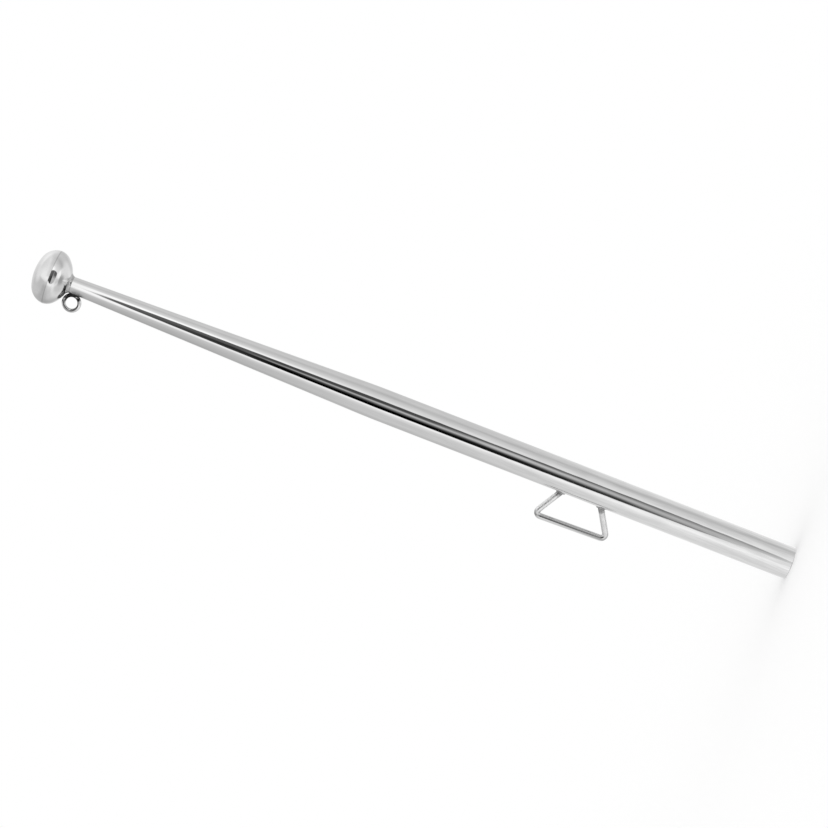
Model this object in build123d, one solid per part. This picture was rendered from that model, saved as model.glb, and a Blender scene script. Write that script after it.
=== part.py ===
from build123d import *
import math
import os

# Boat flagstaff in polished stainless steel: a tapered tube with a pressed, hollow
# mushroom finial, a small welded eye at the masthead and a bent rod cleat lower down.
# Millimetres. +Z runs up the staff from the middle of its open butt, and both
# fittings hang on the -Y side.

# Driving dimensions.
OVERALL_LENGTH = 610.0      # butt face to the top of the finial

TUBE_DIAMETER = 25.0        # the parallel part, which stands in a standard socket
TUBE_WALL = 1.2
PARALLEL_LENGTH = 338.0     # from the butt to where the taper starts
NECK_DIAMETER = 12.6        # outside, where the taper meets the finial
KNUCKLE_HALF_LENGTH = 8.0   # the soft bend from parallel to taper, each way along Z
BUTT_EDGE_BREAK = 0.3       # the deburred rim of the sawn end

FINIAL_DIAMETER = 42.0
FINIAL_WALL = 1.5
CROWN_RISE = 14.1           # seam to the top
CROWN_SHOULDER = 13.2       # radius of the tighter arc between the seam and the cap's arc
SKIRT_DROP = 14.8           # seam to where the skirt's arc would meet the axis
SKIRT_SHOULDER = 11.2
SEAM_OFFSET = 0.5           # each half's centre lies this far past the seam, so it creases
TUBE_INSIDE_FINIAL = 2.0    # how far the tube's end stands above the finial's inner wall
NECK_FILLET = 2.0           # leg of the weld fillet under the finial

EYE_WIRE = 3.1
EYE_MEAN_RADIUS = 6.0
EYE_HEIGHT = 575.8
EYE_FROM_AXIS = 13.2
EYE_BEAD_RADIUS = 2.4
EYE_BEAD_HALF_LENGTH = 4.4
EYE_BEAD_FROM_AXIS = 6.1

CLEAT_ROD = 4.8
CLEAT_HEIGHT = 164.4        # middle of the cleat
CLEAT_REACH = 35.6          # staff axis to the middle of the bar's centre line
CLEAT_SKEW = 0.7            # hand bent: the bar's upper end is this much further out
CLEAT_CORNERS = 59.0        # between the two corners, on the centre line
CLEAT_FEET = 32.3           # between the two feet, where they meet the tube
CLEAT_BEND_RADIUS = 3.2
CLEAT_BEAD_RADIUS = 3.9
CLEAT_BEAD_SINK = 2.2       # how far the bead's centre lies under the tube's surface

# Worked out from them.
TUBE_RADIUS = TUBE_DIAMETER / 2
NECK_RADIUS = NECK_DIAMETER / 2
FINIAL_RADIUS = FINIAL_DIAMETER / 2
SEAM_HEIGHT = OVERALL_LENGTH - CROWN_RISE
REAR = Plane(origin=(0, 0, 0), x_dir=(-1, 0, 0), z_dir=(0, 1, 0))    # half plane where turning starts


def shoulder_from_axis(shoulder):
    """Radius at which a pressing's shoulder arc has its centre."""
    return FINIAL_RADIUS - math.sqrt(shoulder**2 - SEAM_OFFSET**2)


def cap_offset(depth, shoulder):
    """How far a pressing's cap arc has its centre past the shoulder arc's centre.

    The two arcs touch, and the cap's crosses the axis depth from the seam.
    """
    beyond = depth + SEAM_OFFSET - shoulder
    return (shoulder_from_axis(shoulder) ** 2 - beyond**2) / (2 * beyond)


def skirt_drop(radius):
    """Height of the skirt's outer wall below the seam, at a radius near the neck."""
    offset = cap_offset(SKIRT_DROP, SKIRT_SHOULDER)
    cap_radius = offset + SKIRT_DROP + SEAM_OFFSET
    return math.sqrt(cap_radius**2 - radius**2) - offset - SEAM_OFFSET


NECK_HEIGHT = SEAM_HEIGHT - skirt_drop(NECK_RADIUS)
TAPER = (TUBE_RADIUS - NECK_RADIUS) / (NECK_HEIGHT - PARALLEL_LENGTH)
KNUCKLE_RADIUS = KNUCKLE_HALF_LENGTH / math.tan(math.atan(TAPER) / 2)
TUBE_TOP = NECK_HEIGHT + FINIAL_WALL + TUBE_INSIDE_FINIAL


def outer_radius(height):
    """The tube's outside radius at this height, with the knuckle taken as sharp."""
    return TUBE_RADIUS - TAPER * max(0.0, height - PARALLEL_LENGTH)


def turned(outline):
    """A closed outline of radius and height, turned about the staff's axis."""
    return revolve(REAR * outline, Axis.Z)


def staff_outline(inset):
    """Half section of the staff out to its surface less inset, with a soft knuckle."""
    knuckle = (TUBE_RADIUS - inset, PARALLEL_LENGTH)
    outline = make_face(
        Polyline(
            (0, 0),
            (TUBE_RADIUS - inset, 0),
            knuckle,
            (outer_radius(TUBE_TOP) - inset, TUBE_TOP),
            (0, TUBE_TOP),
            close=True,
        )
    )
    corner = outline.vertices().sort_by_distance(Vector(*knuckle))[0]
    return fillet(corner, KNUCKLE_RADIUS)


def pole_tube():
    """Parallel tube drawn down to a straight taper, the same wall all the way."""
    outside = turned(staff_outline(0))
    tube = outside - turned(staff_outline(TUBE_WALL))
    rims = tube.edges().group_by(Axis.Z)[0]
    return chamfer(rims, BUTT_EDGE_BREAK)


def dome(depth, shoulder, inset):
    """Half the finial, hanging from the seam, filled out to its surface less inset."""
    across = shoulder_from_axis(shoulder)
    offset = cap_offset(depth, shoulder)
    level = SEAM_HEIGHT + SEAM_OFFSET
    turn = math.degrees(math.atan2(across, offset))
    rim = math.degrees(math.asin(SEAM_OFFSET / (shoulder - inset)))
    cap_radius = offset + depth + SEAM_OFFSET - inset
    cap = CenterArc((0, level + offset), cap_radius, -90, turn)
    edge = CenterArc((across, level), shoulder - inset, turn - 90, 90 - turn - rim)
    sides = Polyline(cap @ 0, (0, SEAM_HEIGHT), edge @ 1)
    return turned(make_face([*cap.edges(), *edge.edges(), *sides.edges()]))


def pressing(depth, shoulder):
    """A hollow pressing that hangs from the seam, where its open rim is."""
    return dome(depth, shoulder, 0) - dome(depth, shoulder, FINIAL_WALL)


def crown():
    """The upper pressing: a flat cap with full shoulders, closed on top."""
    return mirror(pressing(CROWN_RISE, CROWN_SHOULDER), Plane.XY.offset(SEAM_HEIGHT))


def skirt(staff):
    """The lower pressing: tight at the seam, drawn in to the hole the tube passes."""
    return pressing(SKIRT_DROP, SKIRT_SHOULDER) - staff


def neck_weld(staff):
    """Concave fillet between the taper and the underside of the finial."""
    low = (outer_radius(NECK_HEIGHT - NECK_FILLET), NECK_HEIGHT - NECK_FILLET)
    out_radius = NECK_RADIUS + NECK_FILLET
    out = (out_radius, SEAM_HEIGHT - skirt_drop(out_radius))
    hollow = SagittaArc(low, out, NECK_FILLET * 0.2)
    root = (NECK_RADIUS - TUBE_WALL / 2, NECK_HEIGHT + FINIAL_WALL / 2)
    sides = Polyline(out, (out_radius, root[1]), root, (root[0], low[1]), low)
    ring = turned(make_face([*hollow.edges(), *sides.edges()]))
    return ring - staff - dome(SKIRT_DROP, SKIRT_SHOULDER, 0)


def halyard_eye(staff):
    """Closed wire ring in the staff's own plane, saddled onto the taper."""
    ring = Rot(0, 90, 0) * Torus(EYE_MEAN_RADIUS, EYE_WIRE / 2)
    return Pos(0, -EYE_FROM_AXIS, EYE_HEIGHT) * ring - staff


def eye_weld(staff, eye):
    """Long bead that beds the eye on the taper."""
    half = make_face(
        [
            *EllipticalCenterArc(
                (0, 0), EYE_BEAD_RADIUS, EYE_BEAD_HALF_LENGTH, -90, arc_size=180
            ).edges(),
            *Line((0, EYE_BEAD_HALF_LENGTH), (0, -EYE_BEAD_HALF_LENGTH)).edges(),
        ]
    )
    return Pos(0, -EYE_BEAD_FROM_AXIS, EYE_HEIGHT) * turned(half) - staff - eye


def cleat_lean():
    """How far a leg moves outward along Z for each millimetre away from the staff."""
    run = (CLEAT_CORNERS - CLEAT_FEET) / 2
    return run / (CLEAT_REACH - TUBE_RADIUS)


def cleat_bar(staff):
    """One rod bent to a trapezium, its two leaning legs coped onto the tube."""
    root_from_axis = TUBE_RADIUS - CLEAT_ROD
    root_half = CLEAT_FEET / 2 - cleat_lean() * CLEAT_ROD
    route = FilletPolyline(
        (0, -root_from_axis, CLEAT_HEIGHT - root_half),
        (0, CLEAT_SKEW - CLEAT_REACH, CLEAT_HEIGHT - CLEAT_CORNERS / 2),
        (0, -CLEAT_SKEW - CLEAT_REACH, CLEAT_HEIGHT + CLEAT_CORNERS / 2),
        (0, -root_from_axis, CLEAT_HEIGHT + root_half),
        radius=CLEAT_BEND_RADIUS,
    )
    section = Plane(origin=route @ 0, x_dir=(-1, 0, 0), z_dir=route % 0) * Circle(CLEAT_ROD / 2)
    return sweep(section, path=route) - staff


def cleat_weld(staff, cleat, side):
    """Round bead at one foot of the cleat: side is 1 for the upper foot, -1 the lower."""
    foot = CLEAT_HEIGHT + side * CLEAT_FEET / 2
    bead = Pos(0, -(TUBE_RADIUS - CLEAT_BEAD_SINK), foot) * Sphere(CLEAT_BEAD_RADIUS)
    return bead - staff - cleat


def build():
    """Every sub-part by node name."""
    staff = turned(staff_outline(0))
    eye = halyard_eye(staff)
    cleat = cleat_bar(staff)
    return {
        "pole_tube": pole_tube(),
        "finial_crown": crown(),
        "finial_skirt": skirt(staff),
        "finial_neck_weld": neck_weld(staff),
        "halyard_eye": eye,
        "halyard_eye_weld": eye_weld(staff, eye),
        "cleat_bar": cleat,
        "cleat_upper_weld": cleat_weld(staff, cleat, 1),
        "cleat_lower_weld": cleat_weld(staff, cleat, -1),
    }


os.makedirs("parts", exist_ok=True)
for node, shape in build().items():
    export_step(shape, f"parts/{node}.step")
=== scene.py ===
"""Polished stainless boat flagstaff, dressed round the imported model, in metres.

The steel is a mirror, so its looks are mostly those of the studio that it reflects. In order:
the measures and the studio's brightness, short hands for shader nodes, the studio, the
finishes of the steel, and the beads of the welds.
"""

import math

import bmesh
import bpy
from mathutils import Matrix, Vector


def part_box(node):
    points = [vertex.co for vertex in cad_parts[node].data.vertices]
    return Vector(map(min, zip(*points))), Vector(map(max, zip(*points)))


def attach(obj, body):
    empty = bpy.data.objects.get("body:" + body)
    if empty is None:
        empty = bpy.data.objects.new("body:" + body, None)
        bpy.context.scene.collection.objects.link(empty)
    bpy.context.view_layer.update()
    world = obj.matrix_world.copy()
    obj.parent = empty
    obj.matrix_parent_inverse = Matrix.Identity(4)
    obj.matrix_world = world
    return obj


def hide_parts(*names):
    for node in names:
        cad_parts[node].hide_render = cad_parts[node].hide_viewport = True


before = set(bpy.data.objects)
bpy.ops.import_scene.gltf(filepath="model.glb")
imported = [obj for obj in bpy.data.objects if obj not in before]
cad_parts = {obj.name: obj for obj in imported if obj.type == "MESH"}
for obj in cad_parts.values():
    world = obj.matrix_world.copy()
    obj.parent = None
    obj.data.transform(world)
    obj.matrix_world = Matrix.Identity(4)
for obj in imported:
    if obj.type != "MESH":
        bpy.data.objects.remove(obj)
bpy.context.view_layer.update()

# The staff's own measures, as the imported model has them. Z is its axis, and the eye and the
# cleat hang on the -Y side.
TUBE_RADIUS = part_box("pole_tube")[1].x
FINIAL_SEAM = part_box("finial_crown")[0].z
EYE_WELD_LOW, EYE_WELD_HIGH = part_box("halyard_eye_weld")
EYE_HEIGHT = (EYE_WELD_LOW.z + EYE_WELD_HIGH.z) / 2     # the weld is level with the eye
EYE_REACH = 0.0132              # from the staff's axis to the middle of the eye's ring
CLEAT_HEIGHT = 0.1644
CLEAT_HALF_FEET = 0.01615       # from the cleat's middle to each foot, at the tube's surface
CLEAT_LEAN = 0.578              # how far a leg moves along Z for each metre outward
CLEAT_REACH = 0.0356            # from the staff's axis to the centre line of the cleat's bar
CLEAT_ROD_RADIUS = 0.0024
NECK_WELD_LOW = (0.00635, 0.57991)      # radius and height of the neck weld's two edges
NECK_WELD_HIGH = (0.0083, 0.58252)

# The camera stands level with the staff's middle and is rolled so that the staff lies
# across the view with its fittings underneath. It is off the +X side, a little towards
# +Y, so the fittings lean away from it.
CAMERA_AZIMUTH = math.radians(15.0)
CAMERA_DISTANCE = 2.35
CAMERA_HEIGHT = 0.335
CAMERA_AIM = Vector((0.0, 0.0025, 0.3052))      # X towards the camera, Y across the staff
CAMERA_ROLL = math.radians(68.78)
VIEW_WIDTH = 0.6234         # what the frame spans at the staff

# The studio, which only the staff's reflections see: a drum of lit cloth round the
# staff, a rounded doorway in it on the camera's side, a black flag hung in the upper
# part of the doorway and a dim room beyond. Azimuths are in degrees from the camera's
# side, towards the fittings. A brightness of 1 is white.
TENT_RADIUS = 0.6
TENT_BOTTOM, TENT_TOP = -0.65, 1.25
BOTTOM_LEVEL, TOP_LEVEL = 0.42, 0.90    # the plain middles of the tent's two ends
END_FADE = (0.10, 0.45)             # the radii between which they give way to the cloth

# Each pair is for the doorway's half away from the fittings and its half towards them.
DOOR_WIDTH = (30.0, 31.5)           # as azimuths
DOOR_MIDDLE = (0.28, 0.30)          # the height where the half is widest
DOOR_HALF_HEIGHT = (0.365, 0.34)
DOOR_SQUARENESS = (3.3, 2.0)        # 2 is an ellipse, and more is squarer
DOOR_BLEND = 4.0                    # how far each half runs into the other, in degrees
DOOR_DROP = 0.012                   # how much further down the second half reaches than up
DROP_FADE = (0.04, 0.12)            # the heights between which that ends
DOOR_EDGE = 0.05                    # how soft the edge is, as a share of the doorway's size

FLAG_RADIUS = 0.35
FLAG_HALF_ANGLE = 36.0
FLAG_PANEL = (0.40, 0.66)           # the two edges of the panel that carries it
FLAG_BOTTOM, FLAG_HEM = 0.46, 0.025     # its lower edge, and how soft that is each way
FLAG_SHIFT, FLAG_SCALE = 0.0185, 0.915  # height on the flag from that on the cloth behind it
FLAG_LEVEL = [(-24, 0.13), (-8, 0.11), (0, 0.04), (6, 0.02), (16, 0.04), (24, 0.08)]
FLAG_TOP_LEVEL = 0.14
FLAG_FADE = (0.48, 0.62)            # the heights between which it goes over to its top's level

ROOM_RADIUS, ROOM_HALF_HEIGHT = 2.2, 3.0

# Brightness of the cloth by azimuth, at six heights.
CLOTH = {
    -0.50: [(-180, 0.85), (-110, 0.90), (-70, 0.95), (-55, 1.20), (-20, 1.20), (5, 0.80),
            (30, 0.80), (45, 0.95), (65, 0.75), (150, 0.70), (180, 0.80)],
    0.00: [(-180, 1.00), (-135, 0.90), (-105, 0.80), (-82, 0.57), (-60, 0.72), (-35, 0.90),
           (-25, 0.98), (-5, 0.90), (20, 0.93), (32, 1.05), (42, 1.08), (60, 0.93),
           (85, 0.83), (130, 0.85), (180, 1.00)],
    0.30: [(-180, 0.80), (-140, 0.67), (-100, 0.72), (-80, 0.58), (-60, 0.72), (-35, 0.90),
           (-25, 0.98), (30, 1.15), (37, 1.12), (48, 0.84), (65, 0.70), (105, 0.71),
           (125, 0.62), (150, 0.57), (180, 0.80)],
    0.60: [(-180, 0.95), (-140, 0.67), (-105, 0.74), (-82, 0.64), (-60, 0.77), (-48, 0.88),
           (-36, 1.30), (-25, 1.25), (16, 1.20), (27, 1.15), (36, 0.95), (44, 0.70),
           (75, 0.58), (110, 0.52), (140, 0.45), (180, 0.95)],
    0.80: [(-180, 0.80), (-150, 0.95), (-130, 0.92), (-110, 0.77), (-85, 0.71), (-60, 0.72),
           (-40, 0.82), (0, 0.85), (10, 1.10), (20, 1.00), (32, 0.70), (50, 0.53),
           (150, 0.55), (180, 0.75)],
    1.05: [(-180, 0.80), (-150, 0.95), (-125, 1.08), (-100, 0.88), (-60, 0.95), (15, 1.03),
           (24, 0.93), (32, 0.68), (150, 0.68), (180, 0.80)],
}

# Brightness of the room by azimuth, at eight heights: a grey figure beside the camera,
# with its head at the top, and the dark to each side of it.
ROOM = {
    -0.60: [(-30, 0.10), (-12, 0.14), (-4, 0.36), (6, 0.60), (28, 0.55)],
    -0.26: [(-20, 0.35), (-8, 0.53), (0, 0.66), (20, 0.66)],
    -0.15: [(-24, 0.22), (-14, 0.38), (-7, 0.54), (4, 0.52), (9, 0.43), (12, 0.32), (16, 0.22)],
    -0.03: [(-24, 0.17), (-19, 0.28), (-12, 0.52), (-6, 0.58), (4, 0.31), (12, 0.09), (16, 0.03)],
    0.13: [(-25, 0.12), (-20, 0.18), (-16, 0.48), (-9, 0.70), (-4, 0.57), (4, 0.24), (8, 0.07),
           (14, 0.01)],
    0.28: [(-24, 0.08), (-16, 0.06), (-12, 0.15), (-8, 0.40), (-4, 0.59), (0, 0.46), (4, 0.24),
           (12, 0.04), (16, 0.0)],
    0.50: [(-24, 0.07), (-12, 0.08), (-8, 0.33), (-4, 0.53), (0, 0.36), (4, 0.13), (12, 0.02),
           (18, 0.0)],
    0.60: [(-16, 0.07), (-12, 0.10), (-8, 0.26), (-4, 0.42), (0, 0.14), (4, 0.01), (12, 0.0)],
}

# The share of light that the polished steel and the weld metal reflect, and their roughness.
STEEL_COLOUR, STEEL_ROUGHNESS = 0.78, 0.05
WELD_COLOUR, WELD_ROUGHNESS = 0.52, 0.16

# The painted shade inside the eye's ring is a dark line along a circle, a little off the ring's
# own centre.
RING_PAINTED_SHADE_CENTRE = (0.0, -EYE_REACH - 0.0005, EYE_HEIGHT + 0.0002)
RING_PAINTED_SHADE_RADIUS = 0.0054


def on_ring(turn, radius):
    """A place in the plane of the eye's ring: turns go from straight down to the staff."""
    return (0.0, -EYE_REACH + radius * math.sin(turn), EYE_HEIGHT - radius * math.cos(turn))


# Dark spots, each a place, the radius of its core, the radius where it ends and the steel's
# colour in its core. Those on the eye's ring and on the skirt beside it are painted shade; the
# others darken the welds at the eye and the cleat's feet and the steel round them, and one
# marks a small pit by the neck weld.
EYE_SPOTS = [((0.0, -0.0085, EYE_HEIGHT + 0.0028), 0.0027, 0.0053, 0.02)]
# Painted shade on the ring: at its top under the skirt, and at two places on its side towards the
# staff.
RING_PAINTED_SHADE = [
    ((0.0, -0.0135, EYE_HEIGHT + 0.0080), 0.0008, 0.0036, 0.02),
    (on_ring(0.7, 0.0050), 0.0017, 0.0027, 0.02),
    (on_ring(2.75, 0.0058), 0.0016, 0.0026, 0.02),
]
UNDER_EYE_SPOTS = [((0.0, -0.0065, EYE_HEIGHT - 0.0025), 0.0030, 0.0090, 0.03)]
# Painted shade on the skirt beside the ring, on both its sides.
SKIRT_PAINTED_SHADE = [
    ((side * x, y, EYE_HEIGHT + rise), 0.0018, 0.0038, 0.02)
    for side in (-1, 1)
    for x, y, rise in (
        (0.0092, -0.0015, 0.0074),
        (0.0085, -0.0055, 0.0076),
        (0.0085, -0.0092, 0.0088),
    )
]
NECK_PIT = [((0.0058, 0.0026, NECK_WELD_LOW[1] + 0.0010), 0.0005, 0.0011, 0.05)]
FEET_SPOTS = [
    ((0.0, -TUBE_RADIUS - 0.0008, CLEAT_HEIGHT + side * (CLEAT_HALF_FEET + 0.0005)),
     0.0018, 0.0050, 0.25)
    for side in (-1, 1)
]


class Nodes:
    """Short hands for one node tree. Most take sockets or constants and give a socket."""

    def __init__(self, tree):
        self.tree = tree

    def add(self, kind, **settings):
        """A new node with these settings."""
        node = self.tree.nodes.new(kind)
        for name, value in settings.items():
            setattr(node, name, value)
        return node

    def join(self, source, target):
        """Link a socket, or set a constant."""
        if hasattr(source, "is_output"):
            self.tree.links.new(source, target)
        else:
            target.default_value = source

    def math(self, operation, a, b=0.0):
        node = self.add("ShaderNodeMath", operation=operation)
        self.join(a, node.inputs[0])
        self.join(b, node.inputs[1])
        return node.outputs[0]

    def ease(self, value, low, high, out_low=0.0, out_high=1.0):
        """A smooth step from out_low to out_high as the value goes from low to high."""
        node = self.add("ShaderNodeMapRange", interpolation_type="SMOOTHSTEP")
        for socket, given in zip(node.inputs, (value, low, high, out_low, out_high)):
            self.join(given, socket)
        return node.outputs[0]

    def mix(self, factor, a, b):
        """From a to b as the factor goes from 0 to 1."""
        node = self.add("ShaderNodeMix", data_type="FLOAT")
        self.join(factor, node.inputs["Factor"])
        self.join(a, node.inputs["A"])
        self.join(b, node.inputs["B"])
        return node.outputs["Result"]

    def vector(self, operation, a, b=(0.0, 0.0, 0.0), scale=1.0, output="Vector"):
        node = self.add("ShaderNodeVectorMath", operation=operation)
        self.join(a, node.inputs[0])
        self.join(b, node.inputs[1])
        self.join(scale, node.inputs[3])
        return node.outputs[output]

    def join_axes(self, x, y, z):
        node = self.add("ShaderNodeCombineXYZ")
        for given, socket in zip((x, y, z), node.inputs):
            self.join(given, socket)
        return node.outputs[0]

    def split_axes(self, vector):
        node = self.add("ShaderNodeSeparateXYZ")
        self.join(vector, node.inputs[0])
        return node.outputs

    def place(self):
        """The shaded point."""
        return self.add("ShaderNodeTexCoord").outputs["Object"]

    def axes(self):
        """X, Y and Z of the shaded point."""
        return self.split_axes(self.place())

    def from_axis(self):
        """How far the shaded point is from the staff's axis."""
        x, y, _ = self.axes()
        return self.vector("LENGTH", self.join_axes(x, y, 0.0), output="Value")

    def outward(self):
        """The direction away from the staff's axis, one unit long."""
        x, y, _ = self.axes()
        return self.vector("NORMALIZE", self.join_axes(x, y, 0.0))

    def turned_normal(self):
        """The normal of a piece turned about the staff's axis, with no facets round it."""
        outward = self.outward()
        normal = self.add("ShaderNodeTexCoord").outputs["Normal"]
        slope = self.vector("DOT_PRODUCT", normal, outward, output="Value")
        level = self.vector("SCALE", outward, scale=slope)
        upward = self.join_axes(0.0, 0.0, self.split_axes(normal)["Z"])
        return self.vector("NORMALIZE", self.vector("ADD", level, upward))

    def noise(self, place, detail=2.0):
        """Noise, mostly from 0.3 to 0.7, with about one cell for each unit of the place."""
        node = self.add("ShaderNodeTexNoise")
        node.inputs["Scale"].default_value = 1.0
        node.inputs["Detail"].default_value = detail
        self.join(place, node.inputs["Vector"])
        return node.outputs[0]

    def grain(self, cells, detail=2.0):
        """Noise at the shaded point, with about this many cells to a metre."""
        return self.noise(self.vector("SCALE", self.place(), scale=cells), detail)

    def azimuth_and_height(self):
        """Where the shaded point is on the studio's walls, in degrees and metres."""
        x, y, z = self.axes()
        radians = self.math("ARCTAN2", self.math("MULTIPLY", y, -1.0), x)
        return self.math("MULTIPLY", radians, 180 / math.pi), z

    def by_azimuth(self, degrees, levels):
        """A brightness that follows the levels, given as pairs of azimuth and brightness."""
        ramp = self.add("ShaderNodeValToRGB")
        stops = ramp.color_ramp.elements
        while len(stops) < len(levels):
            stops.new(0.5)
        for stop, (azimuth, level) in zip(stops, levels):
            stop.position = azimuth / 360 + 0.5
            stop.color = (level, level, level, 1)
        self.join(self.math("ADD", self.math("DIVIDE", degrees, 360.0), 0.5), ramp.inputs[0])
        return ramp.outputs[0]

    def by_azimuth_and_height(self, degrees, height, table):
        """A brightness that goes smoothly from each height's levels to the next height's."""
        heights = sorted(table)
        level = self.by_azimuth(degrees, table[heights[0]])
        for low, high in zip(heights, heights[1:]):
            above = self.by_azimuth(degrees, table[high])
            level = self.mix(self.ease(height, low, high), level, above)
        return level

    def glow(self, level, opening=None):
        """End the tree as something that shines, see-through where the opening is 1."""
        shine = self.add("ShaderNodeEmission")
        self.join(level, shine.inputs["Strength"])
        surface = shine.outputs[0]
        if opening is not None:
            mix = self.add("ShaderNodeMixShader")
            self.join(opening, mix.inputs[0])
            self.join(surface, mix.inputs[1])
            self.join(self.add("ShaderNodeBsdfTransparent").outputs[0], mix.inputs[2])
            surface = mix.outputs[0]
        self.join(surface, self.add("ShaderNodeOutputMaterial").inputs[0])


def empty_material(name):
    """A new material and the short hands for its empty tree."""
    material = bpy.data.materials.new(name)
    material.use_nodes = True
    material.node_tree.nodes.clear()
    return material, Nodes(material.node_tree)


# The studio, the light and the camera.

def doorway(nodes, degrees, height):
    """1 inside the doorway and 0 outside it, with a soft edge.

    Across and up are shares of the half's width and height, and its outline is where their
    powers add up to 1.
    """
    side = nodes.ease(degrees, -DOOR_BLEND, DOOR_BLEND)
    width, middle, half_height, squareness = [
        nodes.mix(side, *pair)
        for pair in (DOOR_WIDTH, DOOR_MIDDLE, DOOR_HALF_HEIGHT, DOOR_SQUARENESS)
    ]
    drop = nodes.math("MULTIPLY", side, nodes.ease(height, *DROP_FADE, DOOR_DROP, 0.0))
    half_height = nodes.math("ADD", half_height, drop)
    from_middle = nodes.math("ABSOLUTE", nodes.math("SUBTRACT", height, middle))
    across = nodes.math("DIVIDE", nodes.math("ABSOLUTE", degrees), width)
    up = nodes.math("DIVIDE", from_middle, half_height)
    across_power, up_power = [nodes.math("POWER", share, squareness) for share in (across, up)]
    total = nodes.math("ADD", across_power, up_power)
    reach = nodes.math("POWER", total, nodes.math("DIVIDE", 1.0, squareness))
    return nodes.ease(reach, 1 - DOOR_EDGE, 1 + DOOR_EDGE, 1.0, 0.0)


def cloth_material():
    """Lit cloth, open at the doorway, with plain middles to the tent's two ends."""
    material, nodes = empty_material("tent_cloth")
    degrees, height = nodes.azimuth_and_height()
    level = nodes.by_azimuth_and_height(degrees, height, CLOTH)
    middle = nodes.ease(nodes.from_axis(), *END_FADE, 1.0, 0.0)
    plain = nodes.mix(nodes.ease(height, TENT_BOTTOM, TENT_TOP), BOTTOM_LEVEL, TOP_LEVEL)
    nodes.glow(nodes.mix(middle, level, plain), doorway(nodes, degrees, height))
    return material


def flag_material():
    """Black felt with a soft lower edge, catching a little more light towards the top."""
    material, nodes = empty_material("black_flag")
    degrees, height = nodes.azimuth_and_height()
    above = nodes.ease(height, FLAG_BOTTOM - FLAG_HEM, FLAG_BOTTOM + FLAG_HEM)
    behind = nodes.math("DIVIDE", nodes.math("SUBTRACT", height, FLAG_SHIFT), FLAG_SCALE)
    felt = nodes.math("MULTIPLY", above, doorway(nodes, degrees, behind))
    level = nodes.by_azimuth(degrees, FLAG_LEVEL)
    level = nodes.mix(nodes.ease(height, *FLAG_FADE), level, FLAG_TOP_LEVEL)
    nodes.glow(level, nodes.math("SUBTRACT", 1.0, felt))
    return material


def room_material():
    """The dim room beyond the doorway."""
    material, nodes = empty_material("dim_room")
    degrees, height = nodes.azimuth_and_height()
    nodes.glow(nodes.by_azimuth_and_height(degrees, height, ROOM))
    return material


def mesh_piece(name, shape):
    """A new object from a bmesh."""
    mesh = bpy.data.meshes.new(name)
    shape.to_mesh(mesh)
    shape.free()
    piece = bpy.data.objects.new(name, mesh)
    bpy.context.scene.collection.objects.link(piece)
    return piece


def make_reflected(name, shape, material):
    """Part of the studio that shows in the steel and nowhere else."""
    piece = mesh_piece(name, shape)
    piece.data.materials.append(material)
    piece.rotation_euler.z = CAMERA_AZIMUTH
    piece.visible_camera = False
    piece.visible_diffuse = False
    piece.visible_transmission = False
    piece.visible_volume_scatter = False
    piece.visible_shadow = False


def drum(radius, bottom, top):
    """A closed drum round the staff's axis."""
    shape = bmesh.new()
    bmesh.ops.create_cone(
        shape, cap_ends=True, segments=128, radius1=radius, radius2=radius, depth=top - bottom
    )
    bmesh.ops.translate(shape, verts=shape.verts, vec=(0, 0, (top + bottom) / 2))
    return shape


def curved_panel(radius, half_angle, edges, steps=24):
    """An upright panel that curves round the staff's axis, with its middle off the +X side."""
    shape = bmesh.new()
    columns = []
    for step in range(steps + 1):
        angle = math.radians(half_angle * (2 * step / steps - 1))
        x, y = radius * math.cos(angle), -radius * math.sin(angle)
        columns.append([shape.verts.new((x, y, z)) for z in edges])
    for near, far in zip(columns, columns[1:]):
        shape.faces.new((near[0], far[0], far[1], near[1]))
    return shape


def make_studio():
    """The tent, the flag in its doorway and the room."""
    tent = drum(TENT_RADIUS, TENT_BOTTOM, TENT_TOP)
    flag = curved_panel(FLAG_RADIUS, FLAG_HALF_ANGLE, FLAG_PANEL)
    room = drum(ROOM_RADIUS, -ROOM_HALF_HEIGHT, ROOM_HALF_HEIGHT)
    make_reflected("studio_tent", tent, cloth_material())
    make_reflected("studio_flag", flag, flag_material())
    make_reflected("studio_room", room, room_material())


def make_floor():
    """A plain white floor that takes the soft light and the staff's shadow."""
    shape = bmesh.new()
    bmesh.ops.create_grid(shape, size=30.0)
    floor = mesh_piece("studio_floor", shape)
    floor.visible_glossy = False
    material = bpy.data.materials.new("floor_white")
    material.use_nodes = True
    surface = material.node_tree.nodes["Principled BSDF"]
    surface.inputs["Base Color"].default_value = (1, 1, 1, 1)
    surface.inputs["Roughness"].default_value = 1.0
    surface.inputs["Specular IOR Level"].default_value = 0.0
    floor.data.materials.append(material)


def make_world():
    """Even white light from all round."""
    world = bpy.data.worlds.new("studio_white")
    world.use_nodes = True
    background = world.node_tree.nodes["Background"]
    background.inputs["Color"].default_value = (1, 1, 1, 1)
    background.inputs["Strength"].default_value = 1.0
    bpy.context.scene.world = world


def make_camera():
    """A camera set up off the +X side, then turned about Z to its azimuth."""
    data = bpy.data.cameras.new("camera")
    camera = bpy.data.objects.new("camera", data)
    bpy.context.scene.collection.objects.link(camera)
    place = Vector((CAMERA_DISTANCE, 0.0, CAMERA_HEIGHT))
    back = (place - CAMERA_AIM).normalized()
    up = Vector((0.0, math.sin(CAMERA_ROLL), math.cos(CAMERA_ROLL)))
    right = up.cross(back).normalized()
    up = back.cross(right)
    stand = Matrix((right, up, back)).transposed().to_4x4()
    stand.translation = place
    camera.matrix_world = Matrix.Rotation(CAMERA_AZIMUTH, 4, "Z") @ stand
    data.lens = data.sensor_width * (place - CAMERA_AIM).length / VIEW_WIDTH
    data.clip_end = 100
    bpy.context.scene.camera = camera


# Reliefs: the textures in the steel's surface.

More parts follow.
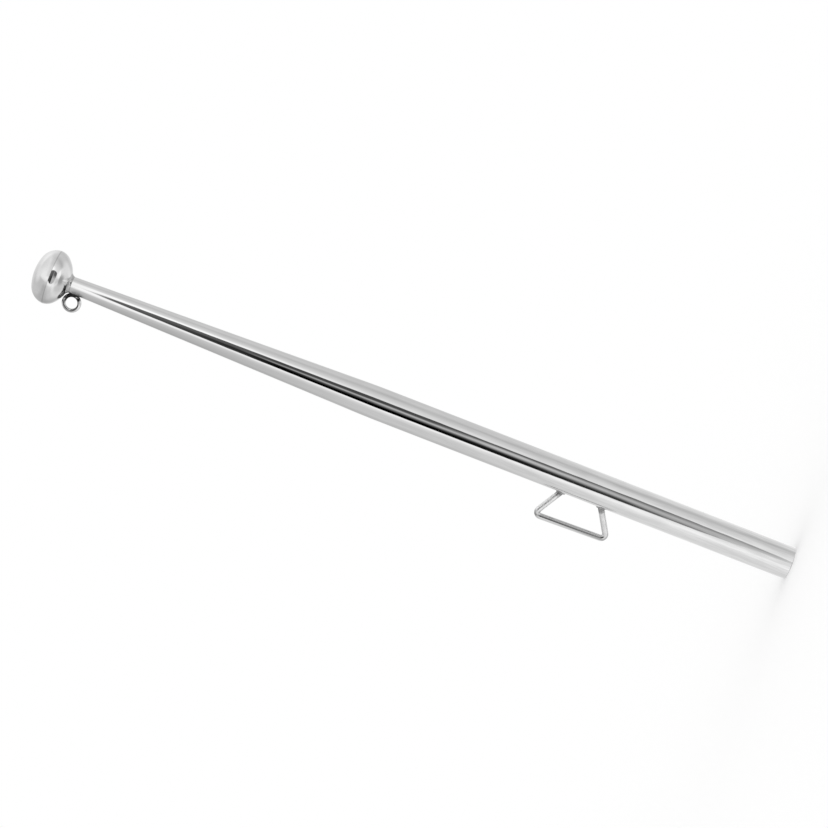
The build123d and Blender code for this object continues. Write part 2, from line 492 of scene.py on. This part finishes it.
def stretched(nodes, around, along):
    """Noise with this many cells to a radian round the staff and to a metre along it."""
    _, _, z = nodes.axes()
    level = nodes.vector("SCALE", nodes.outward(), scale=around)
    upward = nodes.join_axes(0.0, 0.0, nodes.math("MULTIPLY", z, along))
    return nodes.noise(nodes.vector("ADD", level, upward))


def drawn_lines(nodes):
    """A drawn and buffed tube: lines along it that wander, deeper near the butt."""
    _, _, z = nodes.axes()
    fine = nodes.math("MULTIPLY", stretched(nodes, around=60.0, along=8.0), 0.04)
    depth = nodes.ease(z, 0.05, 0.30, 2.2, 0.8)
    broad = nodes.math("MULTIPLY", stretched(nodes, around=5.0, along=35.0), depth)
    return nodes.math("ADD", fine, broad)


def buffed_rings(nodes):
    """A pressing buffed as it turned: fine rings round the axis, never quite whole."""
    _, _, z = nodes.axes()
    rings = nodes.vector("SCALE", nodes.join_axes(nodes.from_axis(), z, 0.0), scale=900.0)
    patches = nodes.vector("SCALE", nodes.place(), scale=90.0)
    fine = nodes.math("MULTIPLY", nodes.noise(nodes.vector("ADD", rings, patches)), 0.15)
    return nodes.math("ADD", fine, nodes.noise(nodes.vector("SCALE", patches, scale=1.5)))


def rubbed_rod(nodes):
    """A rod buffed by hand."""
    return nodes.grain(cells=260.0)


def brushed_weld(nodes):
    """Weld metal that has been wire brushed."""
    return nodes.grain(cells=1800.0, detail=4.0)


# Shades and finishes: how the steel's colour and its roughness change from place to place.
# The ring's shade is painted shade, and the cleat's is painted reflections.

def spotted(nodes, level, spots):
    """Spots as listed at the top, some painted shade, their edges ragged by 1.5 mm each way."""
    here = nodes.place()
    wander = nodes.math("SUBTRACT", nodes.grain(cells=420.0), 0.5)
    ragged = nodes.math("MULTIPLY", wander, 0.003)
    for place, core, rim, colour in spots:
        away = nodes.vector("DISTANCE", here, place, output="Value")
        near = nodes.ease(nodes.math("ADD", away, ragged), core, rim, 1.0, 0.0)
        level = nodes.mix(near, level, colour)
    return level


def streaks(nodes, level):
    """Cloudy streaks along the tube, strongest near the butt."""
    _, _, z = nodes.axes()
    cloud = nodes.ease(stretched(nodes, around=6.0, along=45.0), 0.35, 0.65, -1.0, 1.0)
    strength = nodes.ease(z, 0.15, 0.40, 0.045, 0.015)
    change = nodes.math("ADD", nodes.math("MULTIPLY", cloud, strength), 1.0)
    return nodes.math("MULTIPLY", level, change)


def seam_shade(nodes, level):
    """The fine crease where the finial's two pressings meet, and clouds in their polish."""
    _, _, z = nodes.axes()
    away = nodes.math("ABSOLUTE", nodes.math("SUBTRACT", z, FINIAL_SEAM))
    clouds = nodes.ease(nodes.grain(cells=110.0, detail=3.0), 0.35, 0.70, 1.02, 0.93)
    crease = nodes.ease(away, 0.0001, 0.0006, 0.72, 1.0)
    return nodes.math("MULTIPLY", nodes.math("MULTIPLY", level, clouds), crease)


def ring_painted_shade(nodes, level):
    """Painted shade: a dark line inside the eye's ring, even at its lower side and patchy above.
    """
    _, y, z = nodes.axes()
    from_centre = nodes.vector("DISTANCE", nodes.join_axes(0.0, y, z), RING_PAINTED_SHADE_CENTRE, output="Value")
    away = nodes.math("ABSOLUTE", nodes.math("SUBTRACT", from_centre, RING_PAINTED_SHADE_RADIUS))
    thinnest = nodes.ease(z, EYE_HEIGHT - 0.004, EYE_HEIGHT + 0.002, 0.10, 0.45)
    painted_dark = nodes.ease(nodes.grain(cells=350.0), 0.35, 0.60, 0.06, thinnest)
    return nodes.math("MULTIPLY", level, nodes.ease(away, 0.0002, 0.0009, painted_dark, 1.0))


def inside_bar(nodes):
    """How far the shaded point is towards the staff from the bar's centre line."""
    _, y, _ = nodes.axes()
    return nodes.math("ADD", y, CLEAT_REACH)


def cleat_painted_reflections(nodes, level):
    """Painted reflections: the cleat's bar is darker than its legs, most of all along its middle.
    """
    inward = inside_bar(nodes)
    outer_half = nodes.ease(inward, -0.0012, 0.0001, 0.98, 0.48)
    inner_half = nodes.ease(inward, 0.0001, 0.0013, 1.0, 1.6)
    bar = nodes.math("MULTIPLY", outer_half, inner_half)
    change = nodes.mix(nodes.ease(inward, 0.0021, 0.0051), bar, 1.12)
    return nodes.math("MULTIPLY", level, change)


def cleat_finish(nodes, roughness):
    """The cleat's legs are satin, and its bar is polished."""
    satin = nodes.ease(inside_bar(nodes), 0.0011, 0.0051, 1.0, 8.0)
    return nodes.math("MULTIPLY", roughness, satin)


def steel_material(name, relief, depth, colour=STEEL_COLOUR, roughness=STEEL_ROUGHNESS,
                   spots=(), shade=None, finish=None, turned=False):
    """Stainless steel: depth is how deep its relief goes, in metres.

    A shade changes its colour and a finish its roughness. A turned piece gets exact normals.
    """
    material, nodes = empty_material(name)
    surface = nodes.add("ShaderNodeBsdfPrincipled")
    surface.inputs["Metallic"].default_value = 1.0
    clouds = nodes.grain(cells=70.0, detail=4.0)
    level = nodes.ease(clouds, 0.3, 0.7, colour * 0.985, colour * 1.015)
    if shade is not None:
        level = shade(nodes, level)
    nodes.join(spotted(nodes, level, spots), surface.inputs["Base Color"])
    texture = relief(nodes)
    blur = nodes.ease(texture, 0.3, 0.7, roughness * 0.8, roughness * 1.2)
    if finish is not None:
        blur = finish(nodes, blur)
    nodes.join(blur, surface.inputs["Roughness"])
    bump = nodes.add("ShaderNodeBump")
    bump.inputs["Distance"].default_value = depth
    nodes.join(texture, bump.inputs["Height"])
    if turned:
        nodes.join(nodes.turned_normal(), bump.inputs["Normal"])
    nodes.join(bump.outputs[0], surface.inputs["Normal"])
    nodes.join(surface.outputs[0], nodes.add("ShaderNodeOutputMaterial").inputs[0])
    return material


def give(material, *names):
    """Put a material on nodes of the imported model."""
    for name in names:
        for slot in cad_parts[name].material_slots:
            slot.material = material


def make_steel():
    """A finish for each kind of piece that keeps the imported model's mesh."""
    tube = steel_material("drawn_tube", drawn_lines, depth=2.5e-5, turned=True, shade=streaks,
                          spots=UNDER_EYE_SPOTS + NECK_PIT + FEET_SPOTS)
    # The pressing's skirt and the eye's wire get painted shade, and the cleat's rod painted
    # reflections.
    pressing = steel_material("buffed_pressing", buffed_rings, depth=6e-6, turned=True,
                              shade=seam_shade, spots=SKIRT_PAINTED_SHADE)
    wire = steel_material("eye_wire", rubbed_rod, depth=5e-6, shade=ring_painted_shade,
                          spots=EYE_SPOTS + RING_PAINTED_SHADE)
    rod = steel_material("cleat_rod", rubbed_rod, depth=5e-6, shade=cleat_painted_reflections,
                         finish=cleat_finish, spots=FEET_SPOTS)
    give(tube, "pole_tube")
    give(pressing, "finial_crown", "finial_skirt")
    give(wire, "halyard_eye")
    give(rod, "cleat_bar")


# The welds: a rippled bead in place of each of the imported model's plain ones.

def lofted(name, rings, closed, material, node):
    """A skin over rings of points, the last joined to the first where closed, for one weld."""
    shape = bmesh.new()
    skin = [[shape.verts.new(point) for point in ring] for ring in rings]
    following = skin[1:] + skin[:1] if closed else skin[1:]
    for near, far in zip(skin, following):
        for here in range(len(near)):
            there = (here + 1) % len(near)
            shape.faces.new((near[here], near[there], far[there], far[here]))
    bmesh.ops.recalc_face_normals(shape, faces=shape.faces)
    for face in shape.faces:
        face.smooth = True
    piece = mesh_piece(name, shape)
    piece.data.materials.append(material)
    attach(piece, "root")
    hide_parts(node)


def turns(count):
    """This many angles, evenly spread round a circle."""
    return [2 * math.pi * step / count for step in range(count)]


def ripple(steps):
    """The round shoulder of each scale in a weld, lowest at its edges: one step to each."""
    return math.sqrt(math.sin(math.pi * ((steps + 0.001) % 1.0)))


def foot_weld(node, side, material):
    """The bead round a foot of the cleat: side is 1 for the upper foot and -1 for the lower.

    It follows the line where the leaning rod meets the tube, and swells out of both.
    """
    scales, samples, around, bead = 15, 8, 16, 0.0011
    along = Vector((0.0, -1.0, side * CLEAT_LEAN)).normalized()
    across = Vector((1.0, 0.0, 0.0))
    third = along.cross(across)
    foot = Vector((0.0, -TUBE_RADIUS, CLEAT_HEIGHT + side * CLEAT_HALF_FEET))
    rings = []
    for step, turn in enumerate(turns(scales * samples)):
        rim = CLEAT_ROD_RADIUS * (math.cos(turn) * across + math.sin(turn) * third)
        depth = -math.sqrt(TUBE_RADIUS**2 - rim.x**2)
        centre = foot + rim + along * ((depth - foot.y - rim.y) / along.y)
        out = Vector((centre.x, centre.y, 0.0)).normalized()
        beside = out.cross(rim.normalized()).normalized().cross(out)
        size = bead * (0.84 + 0.16 * ripple(step / samples))
        rings.append([
            centre + size * (math.cos(angle) * out + math.sin(angle) * beside)
            for angle in turns(around)
        ])
    lofted(node + "_bead", rings, True, material, node)


def eye_weld(material):
    """The long bead under the eye, its scales curved as the rod wove from side to side."""
    steps, around = 90, 40
    half_length, radius, centre = 0.0043, 0.0023, -0.0061       # centre is its Y
    pitch, curve = 0.0011, 180      # from scale to scale, and how far each bows at its sides
    rings = []
    for step in range(1, steps):
        lengthwise = -math.cos(math.pi * step / steps)
        width = radius * math.sqrt(1 - lengthwise**2)
        ring = []
        for angle in turns(around):
            x = width * math.cos(angle)
            swell = 0.94 + 0.08 * ripple((lengthwise * half_length + curve * x * x) / pitch)
            y = centre + width * math.sin(angle) * swell
            ring.append((x * swell, y, EYE_HEIGHT + half_length * lengthwise))
        rings.append(ring)
    lofted("halyard_eye_weld_bead", rings, False, material, "halyard_eye_weld")


def neck_weld(material):
    """The hollow fillet under the finial, brushed nearly flat."""
    scales, samples, across = 36, 8, 10
    sag, height = 0.0004, 0.00006           # of the hollow, and of the scales in it
    root_radius, root_z = 0.0058, NECK_WELD_HIGH[1] + 0.0004    # hidden in the joint
    run = NECK_WELD_HIGH[0] - NECK_WELD_LOW[0]
    rise = NECK_WELD_HIGH[1] - NECK_WELD_LOW[1]
    chord = math.hypot(run, rise)
    rings = []
    for step, turn in enumerate(turns(scales * samples)):
        section = []
        for k in range(across + 1):
            part = k / across
            middle = 4 * part * (1 - part)      # 0 at the two edges and 1 halfway
            dip = middle * (sag - height * ripple(step / samples + 0.15 * middle))
            radius = NECK_WELD_LOW[0] + run * part - dip * rise / chord
            section.append((radius, NECK_WELD_LOW[1] + rise * part + dip * run / chord))
        section.append((root_radius, root_z))
        rings.append([(radius * math.cos(turn), radius * math.sin(turn), z)
                      for radius, z in section])
    lofted("finial_neck_weld_fillet", rings, True, material, "finial_neck_weld")


def make_welds():
    """The four beads, all of the same metal."""
    metal = steel_material("weld_metal", brushed_weld, depth=8e-6, colour=WELD_COLOUR,
                           roughness=WELD_ROUGHNESS,
                           spots=EYE_SPOTS + UNDER_EYE_SPOTS + NECK_PIT + FEET_SPOTS)
    neck_weld(metal)
    eye_weld(metal)
    foot_weld("cleat_lower_weld", -1, metal)
    foot_weld("cleat_upper_weld", 1, metal)


make_camera()
make_world()
make_floor()
make_studio()
make_steel()
make_welds()

bpy.context.scene.view_settings.view_transform = "Standard"
